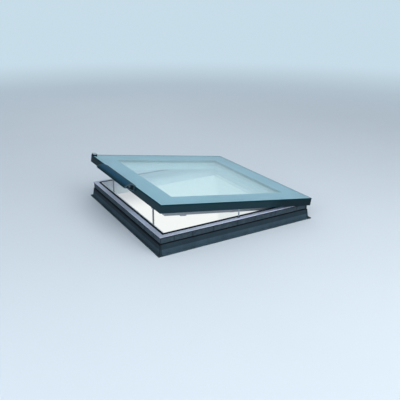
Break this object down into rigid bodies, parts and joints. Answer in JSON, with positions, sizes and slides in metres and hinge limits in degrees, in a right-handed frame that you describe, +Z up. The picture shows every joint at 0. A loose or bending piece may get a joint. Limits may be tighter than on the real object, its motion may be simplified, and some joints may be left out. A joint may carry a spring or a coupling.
{
  "type": "roof skylight",
  "caption": "Square flat-roof skylight: kerbed frame and a double-glazed sash on hinges, lifted by two racks, with a solar bar and a rain sensor.",
  "frame": {"origin": "centre of the frame's underside", "axes": "+Z up out of the roof, +X towards the hinge side, +Y towards the far side; the sash opens on the -X side"},
  "size_m": [1.0782, 1.04, 0.2997],
  "materials": {
    "kerb_felt": "dark mineral felt, matt",
    "white_profile": "smooth white, satin",
    "bright_trim": "fine cross-brushed, pale blue-grey",
    "seal_rubber": "black, matt",
    "dark_cladding": "anthracite powder coat, satin",
    "clear_glass": "clear, polished",
    "glass_enamel": "pale teal enamel behind glass",
    "spacer": "satin",
    "solar_cells": "dark blue under clear cover, glossy",
    "dark_plastic": "fine matt grain",
    "sensor_plate": "pale, smooth",
    "cast_housing": "light grey coat, satin",
    "steel": "zinc plated, satin"
  },
  "bodies": {
    "frame": {"kerb_left": "kerb_felt", "kerb_right": "kerb_felt", "kerb_near": "kerb_felt", "kerb_far": "kerb_felt", "upstand_left": "white_profile", "upstand_right": "white_profile", "upstand_near": "white_profile", "upstand_far": "white_profile", "top_trim_left": "bright_trim", "top_trim_right": "bright_trim", "top_trim_near": "bright_trim", "top_trim_far": "bright_trim", "frame_seal": "seal_rubber", "hinge_pins": "steel", "gearbox_covers": "cast_housing", "motor_housing": "cast_housing", "motor_caps": "dark_plastic", "damper_cylinders": "steel", "damper_glands": "dark_plastic", "hinge_frame_leaf_near": "steel", "hinge_frame_leaf_far": "steel", "gearbox_near": "cast_housing", "gearbox_far": "cast_housing"},
    "sash": {"sash_profile_left": "white_profile", "sash_profile_right": "white_profile", "sash_profile_near": "white_profile", "sash_profile_far": "white_profile", "skirt_left": "dark_cladding", "skirt_right": "dark_cladding", "skirt_near": "dark_cladding", "skirt_far": "dark_cladding", "outer_pane": "clear_glass", "enamel_border": "glass_enamel", "spacer_bar": "spacer", "inner_pane": "clear_glass", "solar_housing": "dark_plastic", "solar_panel": "solar_cells", "rain_sensor": "dark_plastic", "rain_sensor_plate": "sensor_plate", "solar_cap_near": "dark_plastic", "solar_cap_far": "dark_plastic", "hinge_sash_leaf_near": "steel", "hinge_sash_leaf_far": "steel", "rack_bracket_near": "steel", "rack_bracket_far": "steel", "damper_bracket_near": "steel", "damper_bracket_far": "steel"},
    "rack_near": {"rack_near": "steel", "rack_pin_near": "steel"},
    "rack_far": {"rack_far": "steel", "rack_pin_far": "steel"},
    "drive_shaft": {"drive_shaft": "steel", "pinion_near": "steel", "pinion_far": "steel"},
    "damper_rod_near": {"damper_rod_near": "steel", "damper_pin_near": "steel"},
    "damper_rod_far": {"damper_rod_far": "steel", "damper_pin_far": "steel"}
  },
  "joints": [
    {"name": "sash_hinge", "type": "hinge", "parent": "frame", "child": "sash", "pos_m": [0.478, 0, 0.108], "axis": [0, 1, 0], "range_deg": [-8.69, 0]},
    {"name": "rack_slide_near", "type": "slide", "parent": "frame", "child": "rack_near", "axis": [0, 0, 1], "range_m": [-0.1393, 0]},
    {"name": "rack_slide_far", "type": "slide", "parent": "frame", "child": "rack_far", "axis": [0, 0, 1], "range_m": [-0.1393, 0]},
    {"name": "shaft_spin", "type": "hinge", "parent": "frame", "child": "drive_shaft", "pos_m": [-0.42425, 0, 0.017], "axis": [0, 1, 0], "range_deg": [-740, 0]},
    {"name": "damper_slide_near", "type": "slide", "parent": "frame", "child": "damper_rod_near", "axis": [0, 0, 1], "range_m": [-0.07199, 0]},
    {"name": "damper_slide_far", "type": "slide", "parent": "frame", "child": "damper_rod_far", "axis": [0, 0, 1], "range_m": [-0.07199, 0]}
  ],
  "couplings": [
    {"joint": "rack_slide_near", "follows": "sash_hinge", "m_per_rad": 0.91779},
    {"joint": "rack_slide_far", "follows": "sash_hinge", "m_per_rad": 0.91779},
    {"joint": "shaft_spin", "follows": "sash_hinge", "ratio": 84.98},
    {"joint": "damper_slide_near", "follows": "sash_hinge", "m_per_rad": 0.47402},
    {"joint": "damper_slide_far", "follows": "sash_hinge", "m_per_rad": 0.47402}
  ]
}
